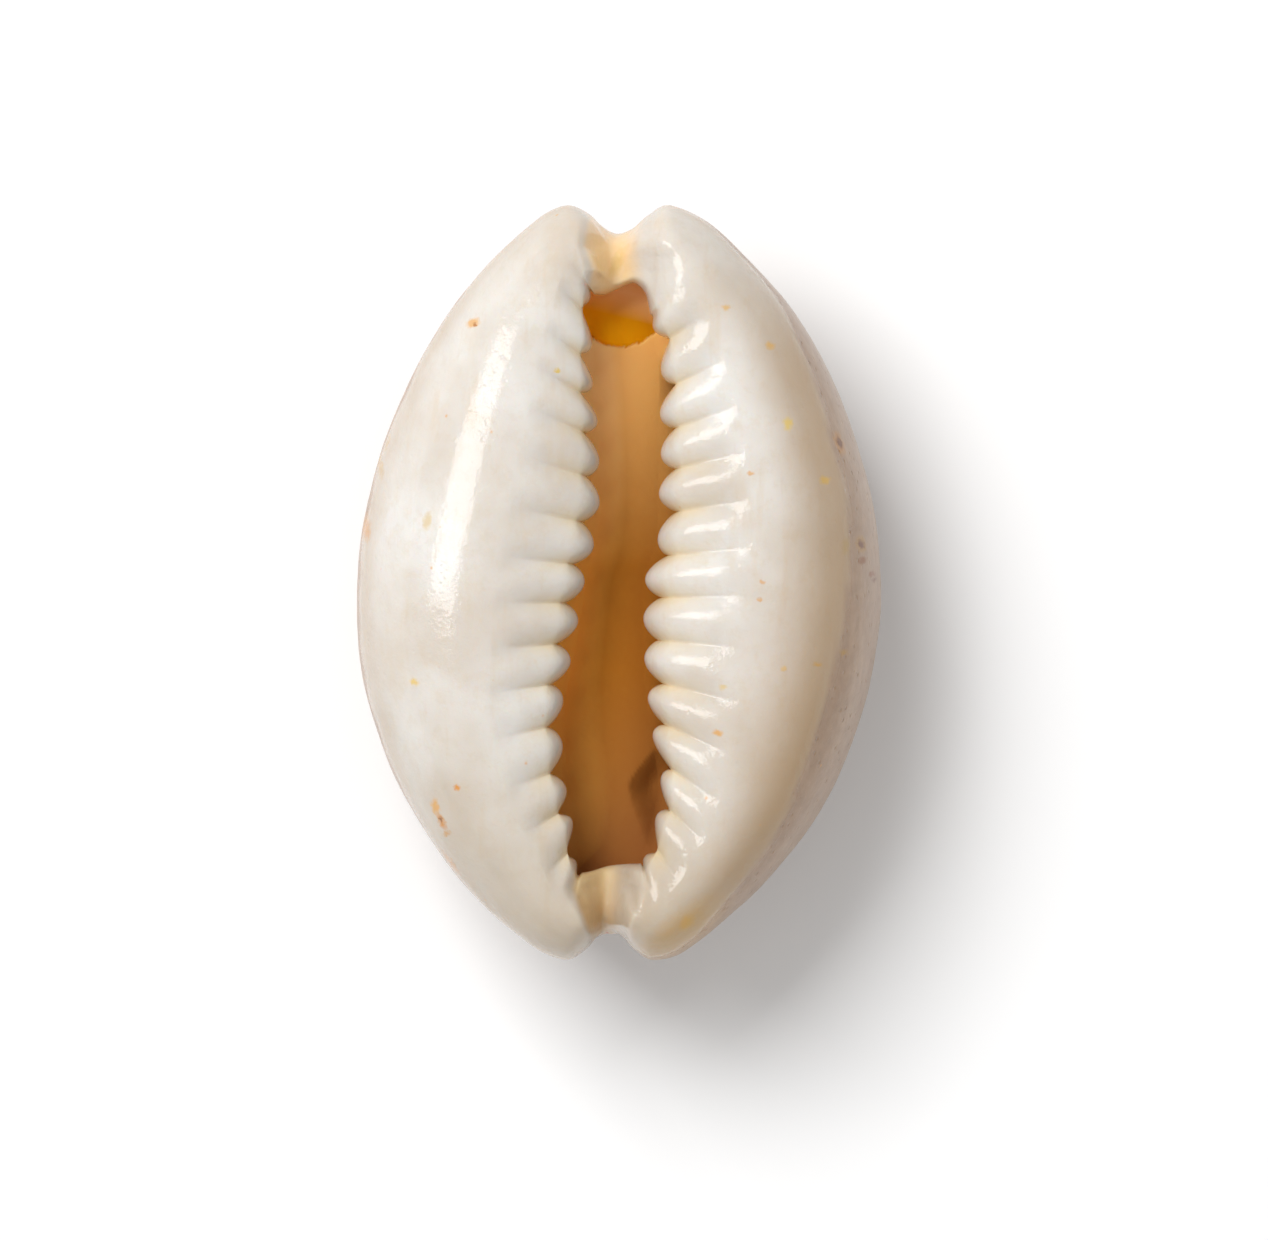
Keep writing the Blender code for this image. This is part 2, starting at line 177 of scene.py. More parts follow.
def loop_through(rows, u):
    """Smooth closed curve through the rows, read at spoke numbers u. Cubic pieces, whose slope
    at each row is that of the line between its two neighbours."""
    rows = np.array(rows)
    knots = np.concatenate([rows[-2:, 0] - TURN, rows[:, 0], rows[:2, 0] + TURN])
    points = np.concatenate([rows[-2:, 1:], rows[:, 1:], rows[:2, 1:]])
    slopes = (points[2:] - points[:-2]) / (knots[2:] - knots[:-2])[:, None]
    knots, points = knots[1:-1], points[1:-1]
    at = np.clip(np.searchsorted(knots, u, side="right") - 1, 0, len(knots) - 2)
    width = (knots[at + 1] - knots[at])[:, None]
    t = (u - knots[at])[:, None] / width
    return (
        (2 * t**3 - 3 * t**2 + 1) * points[at]
        + (t**3 - 2 * t**2 + t) * width * slopes[at]
        + (3 * t**2 - 2 * t**3) * points[at + 1]
        + (t**3 - t**2) * width * slopes[at + 1]
    )


def step(low, high, value):
    """Soft step from 0 at low to 1 at high."""
    t = np.clip((value - low) / (high - low), 0.0, 1.0)
    return t * t * (3.0 - 2.0 * t)


def ripple(seed, size, *places):
    """Smooth random field between about -1 and 1: a sum of nine sine waves in random
    directions, whose wavelengths lie around the given size."""
    rng = np.random.default_rng(seed)
    total = 0.0
    for _ in range(9):
        heading = rng.normal(size=len(places))
        heading /= np.linalg.norm(heading)
        wavelength = size * rng.uniform(0.7, 1.6)
        along = sum(part * place for part, place in zip(heading, places))
        total = total + np.sin(2.0 * np.pi * along / wavelength + rng.uniform(0.0, 6.28))
    return total / 3.0


def tooth_window(u):
    """1 along both toothed lips and 0 through the two canals."""
    outer = step(0.95, 1.4, u) * (1.0 - step(14.5, 15.1, u))
    inner = step(17.9, 18.5, u) * (1.0 - step(32.5, 33.2, u))
    return outer + inner


def groove(u, share):
    """0 on the crown of each tooth and 1 in the groove between two teeth. The groove is sharp
    at the edge of the aperture and opens into a soft wave away from it."""
    sharp = 1.0 - np.abs(np.sin(np.pi * u)) ** 0.7
    soft = 0.5 + 0.5 * np.cos(2.0 * np.pi * u)
    mix = step(0.35, 1.0, share)
    valley_depths = np.random.default_rng(4).uniform(0.85, 1.12, int(TURN) + 1)
    depth = valley_depths[np.round(u).astype(int) % int(TURN)]
    return (sharp + (soft - sharp) * mix) * depth * tooth_window(u)


def canal(x, y):
    """Share of the lip height that the canals cut away. Each canal is a round trough."""
    rows = np.array(CANALS)
    middle = np.interp(y, rows[:, 0], rows[:, 1])
    inner_half = np.interp(y, rows[:, 0], rows[:, 2])
    outer_half = np.interp(y, rows[:, 0], rows[:, 3])
    depth = np.interp(y, rows[:, 0], rows[:, 4])
    half = np.where(x < middle, inner_half, outer_half)
    off = np.clip(np.abs(x - middle) / half, 0.0, 1.0)
    return depth * (0.5 + 0.5 * np.cos(np.pi * off)) * step(7.9, 8.6, np.abs(y))


def pocket(x, y):
    """Sunk wedge at the anterior end, where the whorl folds under the outer lip. It drops
    quickly along its upper side and slowly along its lower side."""
    cx, cy = POCKET_CORNER
    drops = []
    for heading, turn, run in ((POCKET_UPPER_SIDE, -1.0, 0.70), (POCKET_LOWER_SIDE, 1.0, 0.8)):
        along = np.radians(heading)
        inward = turn * ((y - cy) * np.cos(along) - (x - cx) * np.sin(along))
        drops.append(step(-0.10, run, inward))
    return drops[0] * drops[1]


# Short creases beside the canals, as (x, y, x, y of the ends, half width, depth). The last one
# is raised: the thin edge of the inner lip beside the posterior canal.
CREASES = [
    (0.38, -9.62, 0.64, -10.80, 0.15, 0.13), (-1.13, -9.90, -0.80, -10.55, 0.12, 0.08),
    (-1.10, 10.97, -0.55, 9.76, 0.14, -0.18),
]


def creases(x, y):
    """Depth of the short creases: a round groove along each, which runs out at both ends."""
    total = 0.0 * x
    for x0, y0, x1, y1, half, depth in CREASES:
        length = np.hypot(x1 - x0, y1 - y0)
        along = ((x - x0) * (x1 - x0) + (y - y0) * (y1 - y0)) / length
        off = ((y - y0) * (x1 - x0) - (x - x0) * (y1 - y0)) / length
        past = np.maximum(0.0, np.abs(along - length / 2.0) - length / 2.0)
        dip = depth * np.exp(-((off / half) ** 2) - (past / half) ** 2)
        total = np.where(np.abs(dip) > np.abs(total), dip, total)
    return total


def recess_share(x, y):
    """1 in the amber hollow under the posterior canal and 0 on the whorl. The edge between
    them is ragged."""
    ragged = 0.035 * ripple(11, 0.45, x) + 0.02 * ripple(12, 0.15, x)
    return step(-0.04, 0.04, y - 7.50 - 0.35 * (x - 0.05) ** 2 - ragged)


def whorl_top(x, y):
    """Height of the inner whorl seen through the aperture."""
    z = WHORL_HEIGHT + WHORL_RISE * step(1.0, 7.5, y) - 0.12 * (x - 0.1) ** 2
    z = z - RECESS_DEPTH * recess_share(x, y)
    return z - POCKET_DEPTH * pocket(x, y)


def refine(rings, count):
    """Rings read at count even stations along the smooth curve through the given rings."""
    at = np.linspace(0.0, len(rings) - 1.0, count + 2)[1:-1]
    low = np.floor(at).astype(int)
    t = (at - low)[:, None, None]
    first, second = rings[np.maximum(low - 1, 0)], rings[low]
    third, fourth = rings[low + 1], rings[np.minimum(low + 2, len(rings) - 1)]
    return 0.5 * (
        2.0 * second + (third - first) * t
        + (2.0 * first - 5.0 * second + 4.0 * third - fourth) * t**2
        + (3.0 * second - first - 3.0 * third + fourth) * t**3
    )


def dome(plan):
    """Height of the domed back under the points of plan: a quarter oval from the middle out,
    deeper towards the ends, and cut flat where the shell rests."""
    centre = np.array(BACK_CENTRE)
    spread = np.hypot(*(plan - centre).T)
    heading = (plan - centre) / np.maximum(spread, 1e-6)[:, None]
    oval_reach = 1.0 / np.hypot(*(heading / BACK_HALF_SIZE).T)
    oval_y = centre[1] + heading[:, 1] * oval_reach
    rise = SIDE_RISE_AT_ENDS * (np.abs(oval_y) / HALF_LENGTH) ** 2.2
    full = SIDE_HEIGHT + rise + WORN_DEPTH
    share = np.clip(spread / oval_reach, 0.0, 1.0)
    return np.maximum(full * (1.0 - np.sqrt(1.0 - share**2)) - WORN_DEPTH, 0.0)


def shell_grid(u):
    """Points of the shell, and what each ring is, on a grid of rings by spokes. A spoke starts
    on the middle of the back, goes out to the side, up over the base to the edge of the
    aperture, in under the lip and down to the middle line of the inner whorl. The second array
    has, for each ring, the way gone: 2 on the back, 1 at the side, 0 at the aperture, then
    down to -1 at the whorl and -2 at its middle line."""
    rim = loop_through(APERTURE, u)
    side = loop_through(OUTLINE, u)
    far_side = loop_through(OUTLINE, TURN - u)
    reach = np.hypot(*(side - rim).T)
    away = (side - rim) / reach[:, None]
    toward_end = np.abs(side[:, 1]) / HALF_LENGTH
    notch = canal(side[:, 0], side[:, 1])
    side_z = SIDE_HEIGHT + SIDE_RISE_AT_ENDS * toward_end**2.2 - NOTCH_SAG * notch
    crest_z = CREST_HEIGHT - CREST_DROP_AT_ENDS * toward_end**2
    inner_lip = step(16.0, 18.0, u) * (1.0 - step(33.0, 34.0, u))
    crest_share = OUTER_CREST_SHARE + (INNER_CREST_SHARE - OUTER_CREST_SHARE) * inner_lip
    crest = crest_share * reach
    rings, ways = [], []

    # Domed back: a plain oval dome that takes on the true outline only near the side.
    centre = np.array(BACK_CENTRE)
    heading = (side - centre) / np.hypot(*(side - centre).T)[:, None]
    oval = centre + heading / np.hypot(*(heading / BACK_HALF_SIZE).T)[:, None]
    oval_z = SIDE_HEIGHT + SIDE_RISE_AT_ENDS * (np.abs(oval[:, 1]) / HALF_LENGTH) ** 2.2
    full = oval_z + WORN_DEPTH
    flat = np.sqrt(1.0 - (1.0 - WORN_DEPTH / full) ** 2)
    rings.append(np.column_stack([centre + (oval - centre) * flat[:, None], 0.0 * u]))
    ways.append(2.0)
    for angle in np.radians(np.linspace(21.0, 90.0, 20)):
        near_side = step(0.45, 1.0, np.sin(angle))
        edge = oval + (side - oval) * near_side
        plan = centre + (edge - centre) * np.sin(angle)
        full = oval_z + (side_z - oval_z) * near_side + WORN_DEPTH
        rings.append(np.column_stack([plan, full * (1.0 - np.cos(angle)) - WORN_DEPTH]))
        ways.append(2.0 - np.sin(angle))

    # Rounded margin, from the side up to the crest of the base.
    for angle in np.radians(np.linspace(86.0, 4.0, 22)):
        out = np.sin(angle) ** (2.0 / MARGIN_ROUNDING)
        rise = np.cos(angle) ** (2.0 / MARGIN_ROUNDING)
        plan = rim + away * (crest + (reach - crest) * out)[:, None]
        lift = (crest_z - side_z) * rise * (1.0 - canal(*plan.T))
        rings.append(np.column_stack([plan, side_z + lift]))
        ways.append(OUTER_CREST_SHARE + (1.0 - OUTER_CREST_SHARE) * out)

    # Base from the crest in to the tips of the teeth, with the ridges and grooves.
    turn_in = NOSE_SHARE * (1.0 - np.sin(np.linspace(0.0, np.pi / 2.0, 12)))
    for share in np.concatenate([np.linspace(1.0, NOSE_SHARE, 24)[:-1], turn_in]):
        bend = np.clip(1.0 - share / NOSE_SHARE, 0.0, 1.0)
        up = np.sqrt(1.0 - bend**2)
        fade = np.clip(1.0 - share / RIDGE_SHARE, 0.0, 1.0)
        cut = TOOTH_DEPTH * groove(u, share) * fade
        plan = rim + away * (share * crest)[:, None]
        z = crest_z - LIP_SLOPE * crest * (1.0 - share) ** 2 - NOSE_HEIGHT * (1.0 - up)
        z = side_z + (z - side_z) * (1.0 - canal(*plan.T))
        plan = plan + away * (cut * bend)[:, None]
        rings.append(np.column_stack([plan, z - cut * up - creases(*plan.T) * up]))
        ways.append(share * OUTER_CREST_SHARE)
    rim_z = rings[-1][:, 2]
    cut = TOOTH_DEPTH * groove(u, 0.0)

    # Inner whorl, out to the line halfway between the lips, where each spoke meets the spoke
    # of the other lip. The line stops short of the canals.
    lane = np.minimum(u, TURN - u)
    inner = np.clip(lane, END_LANES, TURN / 2.0 - END_LANES)
    halfway = (loop_through(APERTURE, inner) + loop_through(APERTURE, TURN - inner)) / 2.0
    halfway = halfway * [1.0, WHORL_LENGTH_SHARE]
    end = loop_through(APERTURE, np.where(lane < TURN / 4.0, 0.0, TURN / 2.0))
    past = np.abs(lane - inner) / END_LANES
    halfway += (end - halfway) * (END_LANE_SHARE * past)[:, None]
    whorl = []
    for share in (np.arange(1.0, 19.0) / 18.0) ** 1.3:
        plan = rim + (halfway - rim) * share
        whorl.append(np.column_stack([plan, whorl_top(*plan.T)]))

    # Under the inner lip and the canals the wall runs straight down to the whorl. Under the
    # outer lip it opens into the chamber, which runs around the back to the far side.
    slit = step(3.15, 3.85, u) * (1.0 - step(13.15, 13.85, u))
    spread = step(3.7, 5.4, u) * (1.0 - step(11.9, 13.4, u))
    slit, spread = slit[:, None], spread[:, None]
    undercut = LIP_UNDERCUT * (0.3 + 0.7 * tooth_window(u))
    edge_z = whorl_top(*rim.T)
    under = [rings[-1]]
    for number, (kind, share, height, slit_share, slit_height) in enumerate(CHAMBER):
        part_way = (number + 1.0) / (len(CHAMBER) + 1.0)
        gap = undercut * np.sin(np.pi * part_way) ** 0.6
        gap = np.maximum(gap, cut * np.clip(1.2 - part_way * 3.0, 0.0, 1.0))
        sink = (edge_z - rim_z) * np.sin(np.pi / 2.0 * part_way)
        wall = np.column_stack([rim + away * gap[:, None], rim_z + sink])
        crack = np.column_stack([rim + (side - rim) * slit_share, slit_height + 0.0 * u])
        target = side if kind == "outer" else far_side
        plan = rim + (target - rim) * share
        room = np.column_stack([plan, np.maximum(height, dome(plan) + BACK_WALL)])
        room[:, :2] = crack[:, :2] + (room[:, :2] - crack[:, :2]) * spread
        room[:, 2] = crack[:, 2] + (room[:, 2] - crack[:, 2]) * spread[:, 0] ** 2
        if number == 0:
            room[:, :2] += away * cut[:, None]
        under.append(wall * (1.0 - slit) + room * slit)
    under = refine(np.array(under + whorl[:1]), 26)
    rings.extend(under)
    ways.extend(-np.arange(1.0, len(under) + 1.0) / len(under))
    rings.extend(whorl)
    ways.extend(-1.0 - np.arange(1.0, len(whorl) + 1.0) / len(whorl))
    return np.array(rings), np.array(ways)


def make_shell():
    """The shell as one closed mesh: the grid, a cap on the middle of the back, and the last
    ring closed on itself along the middle line of the inner whorl."""
    spokes = int(TURN * SPOKES_PER_TOOTH)
    u = np.arange(spokes) / SPOKES_PER_TOOTH
    points, ways = shell_grid(u)
    rings = len(points)

    # The glaze is never quite even: soft swells all over, and wrinkles in the canals. It stops
    # on the flank of the outer lip. Just above that line the margin of the outer lip gets painted
    # shade, where it turns away from the lamp, and a thin band of it runs along the glaze edge.
    along = np.roll(points, -1, axis=1) - np.roll(points, 1, axis=1)
    up_spoke = np.gradient(points, axis=0)
    normals = np.cross(along, up_spoke)
    normals /= np.maximum(np.linalg.norm(normals, axis=2, keepdims=True), 1e-9)
    x, y, z = np.moveaxis(points, 2, 0)
    outside = step(0.0, 0.25, ways) * (1.0 - step(1.6, 1.9, ways))
    swell = sum(height * ripple(seed, size, x, y, z) for seed, size, height in SWELLS)
    edge = loop_through(GLAZE_EDGE, u)[:, 0] + 0.004 * ripple(5, 1.3, u)
    bare = step(-0.012, 0.012, ways[:, None] - edge[None, :])
    outer_side = step(1.0, 3.0, u) * (1.0 - step(12.0, 15.0, u))
    # Painted shade on the margin of the outer lip, where it turns away from the lamp, and a thin
    # band of it along the glaze edge all round.
    margin = step(-0.47, 0.02, ways[:, None] - edge[None, :]) * outer_side[None, :]
    margin = np.maximum(margin, 0.55 * step(-0.09, 0.0, ways[:, None] - edge[None, :]))
    wrinkles = WRINKLE_HEIGHT * ripple(7, WRINKLE_SIZE, x, y, z) * step(0.05, 0.35, canal(x, y))
    lift = (swell + wrinkles - GLAZE_THICKNESS * bare - INSET) * outside[:, None]
    points = points + normals * lift[:, :, None]
    low, high = np.array(cad_box) / MM
    points = np.clip(points, low, high)

    # Faces: quads between rings, triangles to the middle of the back, and the last ring
    # merged with its mirror so that both lips share one middle line.
    number = np.arange(rings * spokes).reshape(rings, spokes)
    mirror = (-np.arange(spokes)) % spokes
    seam = np.minimum(number[-1], number[-1][mirror])
    points[-1] = (points[-1] + points[-1][mirror]) / 2.0
    number[-1] = seam
    after = np.roll(number, -1, axis=1)
    quads = np.stack([number[:-1], after[:-1], after[1:], number[1:]], axis=-1).reshape(-1, 4)
    middle = rings * spokes
    cap = np.column_stack([after[0], number[0], np.full(spokes, middle)])
    flat_points = np.vstack([points.reshape(-1, 3), [*BACK_CENTRE, 0.0]])
    flat_points[middle, 2] = low[2]
    used = np.unique(np.concatenate([quads.ravel(), cap.ravel()]))
    new_number = np.zeros(len(flat_points), dtype=int)
    new_number[used] = np.arange(len(used))
    mesh = bpy.data.meshes.new("shell_skin")
    faces = new_number[quads].tolist() + new_number[cap].tolist()
    mesh.from_pydata((flat_points[used] * MM).tolist(), [], faces)
    mesh.polygons.foreach_set("use_smooth", np.ones(len(faces), dtype=bool))

    # What the material needs to know at each point: inside the aperture or not, depth of the
    # groove between teeth, glaze gone, painted shade on the margin, canal, painted shade in the
    # pocket, amber hollow, and the way across the whorl from the inner lip at 0 to the outer lip at
    # 1.
    base = np.clip(ways[:, None] / OUTER_CREST_SHARE, 0.0, 1.0)
    channel = np.array([groove(u, share) for share in base[:, 0]])
    canal_middle = np.interp(y, *np.array(CANALS)[:, :2].T)
    apex = np.hypot(x - POCKET_CORNER[0], y - POCKET_CORNER[1])
    fade = np.clip(1.0 - base / 0.62, 0.0, 1.0) * (ways[:, None] > -0.2)
    fold = np.radians(POCKET_UPPER_SIDE)
    past_fold = (x - POCKET_CORNER[0]) * np.sin(fold) - (y - POCKET_CORNER[1]) * np.cos(fold)
    # Painted shade for the pocket: darkest at its corner and along its upper side, where the whorl
    # overhangs the deeper floor.
    pocket_shade = 0.12 + 0.68 * np.exp(-apex / 0.32) + 0.30 * np.exp(-np.abs(past_fold) / 0.22)
    # Tan of the anterior canal sits mostly on its inner wall: partly its own colour and partly
    # painted shade of that wall, which faces away from the lamp.
    off_canal = x - canal_middle + np.where(y < 0.0, 0.40, 0.0)
    off_canal = np.abs(off_canal) * np.where(off_canal < 0.0, 0.75, 1.15)
    inward = 0.5 * np.clip(-1.0 - ways, 0.0, 1.0)[:, None] ** 1.3
    inner_lip = step(15.0, 18.5, u) * (1.0 - step(32.0, 34.0, u))
    facts = {
        "inside": step(0.02, 0.12, -ways)[:, None] + 0.0 * x,
        "groove": channel * fade,
        "bare": bare * (ways[:, None] > 0.0),
        "margin": margin * (ways[:, None] > 0.0),
        "canal": step(-1.15, -0.25, -off_canal) * step(0.03, 0.15, canal(x, y))
        * (ways[:, None] > -0.3),
        # Painted shade in the pocket.
        "pocket": step(0.0, 0.04, pocket(x, y)) * pocket_shade * (ways[:, None] < -0.1),
        "recess": recess_share(x, y) * (ways[:, None] < -0.1),
        "across": (1.0 - inward) * (1.0 - inner_lip) + inward * inner_lip,
    }
    for name, values in facts.items():
        layer = mesh.attributes.new(name, "FLOAT", "POINT")
        at_middle = 1.0 if name == "bare" else 0.0
        flat_values = np.append(np.asarray(values, dtype=float).ravel(), at_middle)
        layer.data.foreach_set("value", flat_values[used].astype(np.float32))
    mesh.update()
    shell = bpy.data.objects.new("shell_skin", mesh)
    bpy.context.scene.collection.objects.link(shell)
    return shell


shell_skin = make_shell()


# Glazed aragonite. The mantle lays it down as a dense, slightly translucent white glaze, like
# fine porcelain: light sinks in a little and comes back warm, and the surface mirrors lamps.

def linear(code):
    """An sRGB hex colour as linear red, green, blue and alpha."""
    values = np.array([int(code[i:i + 2], 16) / 255.0 for i in (1, 3, 5)])
    values = np.where(values <= 0.04045, values / 12.92, ((values + 0.055) / 1.055) ** 2.4)
    return (*[float(value) for value in values], 1.0)


def add(tree, kind, inputs=(), **settings):
    """Adds one node. Settings are its own properties, and inputs are (socket, value or the
    output socket that feeds it)."""
    node = tree.nodes.new(kind)
    for name, value in settings.items():
        setattr(node, name, value)
    for socket, value in inputs:
        if isinstance(value, bpy.types.NodeSocket):
            tree.links.new(value, node.inputs[socket])
        else:
            node.inputs[socket].default_value = value
    return node


# The two colour sockets of a Mix node. They share their names with its other sockets, so they
# are reached by number.
COLOUR_UNDER = 6
COLOUR_OVER = 7


def laid_over(tree, colour, layers):
    """Colour with layers laid over it in turn. A layer is (source, low, high, share, colour on
    top): none of it shows where its source is at low, and the given share of it at high."""
    for source, low, high, share, over in layers:
        amount = add(tree, "ShaderNodeMapRange", [
            ("Value", source), ("From Min", low), ("From Max", high), ("To Max", share),
        ])
        mixed = add(tree, "ShaderNodeMix", [
            ("Factor", amount.outputs[0]), (COLOUR_UNDER, colour), (COLOUR_OVER, over),
        ], data_type="RGBA")
        colour = mixed.outputs[2]
    return colour


# Stains on the glaze, as (x, y, half length, half width, turn in degrees, colour, strength).
# The finest are drawn a little larger than life, so that they show.
STAINS = [
    (-4.57, 8.17, 0.20, 0.13, 20, "#d5982e", 0.75), (-4.50, 8.10, 0.06, 0.05, 20, "#a26016", 0.8),
    (-1.92, 6.64, 0.12, 0.06, 10, "#dbb946", 0.8), (-8.01, 1.75, 0.40, 0.15, 95, "#c7892e", 0.85),
    (-7.57, 3.76, 0.40, 0.10, 100, "#c1984c", 0.7), (-7.34, 4.43, 0.25, 0.06, 70, "#c1984c", 0.6),
    (-6.00, 1.91, 0.28, 0.12, 80, "#ceac5a", 0.5), (-6.39, -3.13, 0.14, 0.10, 0, "#ddb94c", 0.7),
    (-5.06, -6.44, 0.10, 0.09, 0, "#d18822", 0.85), (-5.75, -7.05, 0.24, 0.12, 100, "#d59a38", 0.8),
    (-5.56, -7.52, 0.26, 0.10, 115, "#c7821f", 0.9), (-5.58, -7.48, 0.10, 0.05, 115, "#7a450e", 0.9),
    (-5.40, -7.90, 0.12, 0.08, 20, "#c18935", 0.7), (-5.30, -8.84, 0.42, 0.08, 125, "#c88935", 0.6),
    (3.38, 8.64, 0.13, 0.10, 0, "#d4a13b", 0.6), (4.78, 7.43, 0.15, 0.11, 0, "#d5a238", 0.6),
    (5.32, 4.98, 0.14, 0.20, 0, "#dbbd54", 0.7), (6.98, 4.40, 0.34, 0.13, 110, "#bd822e", 0.8),
    (6.99, 4.42, 0.20, 0.09, 110, "#6a3603", 0.9), (6.50, 3.22, 0.16, 0.12, 0, "#d1a846", 0.7),
    (4.14, 3.41, 0.09, 0.07, 0, "#d0912e", 0.6), (7.68, 1.21, 0.24, 0.14, 100, "#b1842e", 0.8),
    (7.68, 1.21, 0.14, 0.10, 100, "#6e3405", 0.95), (7.17, 1.15, 0.26, 0.12, 90, "#b08f46", 0.5),
    (7.71, 0.70, 0.14, 0.10, 30, "#8a4f0a", 0.8), (8.03, 0.29, 0.12, 0.08, 60, "#8a4d0a", 0.85),
    (8.13, 0.10, 0.10, 0.06, 60, "#7a4208", 0.8), (4.52, 0.00, 0.09, 0.07, 0, "#d0912e", 0.55),
    (4.43, -0.54, 0.09, 0.07, 0, "#d0912e", 0.55), (3.12, -4.72, 0.13, 0.11, 0, "#d5982e", 0.7),
    (7.11, -2.20, 0.13, 0.09, 0, "#b2893e", 0.7), (6.25, -2.58, 0.11, 0.08, 0, "#c8983e", 0.6),
    (5.20, -2.70, 0.10, 0.08, 0, "#d4a74a", 0.5), (3.30, -3.30, 0.14, 0.08, 0, "#d8b651", 0.5),
    (2.16, -10.69, 0.26, 0.18, 40, "#d1a647", 0.55), (2.05, -10.95, 1.50, 0.55, 38, "#c59844", 0.45),
    (-0.34, -11.07, 0.06, 0.06, 0, "#b1490d", 0.9), (-0.05, 10.05, 0.40, 0.16, 70, "#d1aa4c", 0.45),
]


def glazed_aragonite():
    """Cream glaze on the lips, yellow in the grooves, caramel and amber inside, and a duller
    pitted beige flank where the glaze ends."""
    material = bpy.data.materials.new("glazed aragonite")
    material.use_nodes = True
    tree = material.node_tree
    surface = tree.nodes["Principled BSDF"]
    place = add(tree, "ShaderNodeTexCoord").outputs["Object"]
    mm = add(tree, "ShaderNodeMapping", [("Vector", place), ("Scale", (1000.0, 1000.0, 1000.0))])
    mm = mm.outputs[0]
    x, y, z = add(tree, "ShaderNodeSeparateXYZ", [("Vector", mm)]).outputs
    fact = {
        layer.name: add(tree, "ShaderNodeAttribute", attribute_name=layer.name).outputs["Fac"]
        for layer in shell_skin.data.attributes
        if layer.data_type == "FLOAT" and layer.domain == "POINT"
    }

    # Cream glaze, with cloudy warmer patches of 3 to 4 mm, faint streaks along the shell and a
    # fine mottle. It is darker towards both ends: painted shade, as the ends catch less light.
    cloud = add(tree, "ShaderNodeTexNoise", [("Vector", mm), ("Scale", 0.28), ("Detail", 3.0)])
    streak_place = add(tree, "ShaderNodeMapping", [("Vector", mm), ("Scale", (1.6, 0.22, 1.0))])
    streak = add(tree, "ShaderNodeTexNoise", [
        ("Vector", streak_place.outputs[0]), ("Scale", 1.0), ("Detail", 4.0), ("Roughness", 0.6),
    ])
    mottle = add(tree, "ShaderNodeTexNoise", [
        ("Vector", mm), ("Scale", 1.7), ("Detail", 6.0), ("Roughness", 0.75),
    ])
    glaze = laid_over(tree, linear("#dad7d2"), [
        (cloud.outputs["Fac"], 0.35, 0.65, 1.0, linear("#cbc2b7")),
        (streak.outputs["Fac"], 0.55, 0.75, 0.35, linear("#cbb699")),
        (mottle.outputs["Fac"], 0.50, 0.72, 0.30, linear("#c6b294")),
        # Painted shade towards both ends.
        (y, -3.5, -12.0, 0.88, linear("#b5a48c")),
        (y, 6.0, 12.5, 0.38, linear("#b5a48c")),
    ])

    # Flank: where the glaze ends the wall is beige and gritty, with the same streaks.
    grit = add(tree, "ShaderNodeTexNoise", [
        ("Vector", mm), ("Scale", 2.2), ("Detail", 5.0), ("Roughness", 0.7),
    ])
    flank = laid_over(tree, linear("#8e7056"), [
        (grit.outputs["Fac"], 0.0, 1.0, 1.0, linear("#b69678")),
        (streak.outputs["Fac"], 0.55, 0.75, 0.35, linear("#c9ae90")),
    ])

    # Canals: tan at the anterior end, paler inwards, and yellower at the posterior end. The
    # posterior trough is paler partly for its own colour and partly as painted light against the
    # shade of the lamp in it. Specks are orange dots, 1 or 2 mm apart. Real ones are finer than
    # these, which are drawn about 0.1 mm across so that they show.
    trough = laid_over(tree, linear("#c79f64"), [
        (y, -10.2, -8.9, 1.0, linear("#e0c48e")),
        (y, -0.5, 0.5, 1.0, linear("#ecc68a")),
    ])
    specks = add(tree, "ShaderNodeTexVoronoi", [("Vector", mm), ("Scale", 0.75)])
    outside = laid_over(tree, glaze, [
        (fact["groove"], 0.0, 1.0, 0.95, linear("#e6cc94")),
        (fact["canal"], 0.0, 1.0, 0.80, trough),
        # Painted shade on the margin.
        (fact["margin"], 0.0, 1.0, 0.90, linear("#b0916a")),
        (fact["bare"], 0.0, 1.0, 1.0, flank),
        (specks.outputs["Distance"], 0.055, 0.02, 0.55, linear("#d99a48")),
    ])

    # Stains, with ragged edges from a fine warp of the place that they are read at. A stain is
    # full inside its oval and gone at one and a half times its size. The back has none.
    warp = add(tree, "ShaderNodeTexNoise", [("Vector", mm), ("Scale", 6.0), ("Detail", 4.0)])
    shift = add(tree, "ShaderNodeVectorMath", [
        (0, warp.outputs["Color"]), (1, (-0.5, -0.5, -0.5)),
    ], operation="ADD")
    spot_place = add(tree, "ShaderNodeVectorMath", [
        (0, shift.outputs[0]), (1, (0.22, 0.22, 0.22)), (2, mm),
    ], operation="MULTIPLY_ADD").outputs[0]
    spots = []
    for spot_x, spot_y, half_length, half_width, turn, code, strength in STAINS:
        local = add(tree, "ShaderNodeMapping", [
            ("Vector", spot_place), ("Location", (spot_x, spot_y, 0.0)),
            ("Rotation", (0.0, 0.0, np.radians(turn))), ("Scale", (half_length, half_width, 1e6)),
        ], vector_type="TEXTURE")
        away = add(tree, "ShaderNodeVectorMath", [(0, local.outputs[0])], operation="LENGTH")
        spots.append((away.outputs["Value"], 1.4, 0.5, strength, linear(code)))
    stained = laid_over(tree, outside, spots)
    outside = laid_over(tree, outside, [(z, 4.5, 5.5, 1.0, stained)])
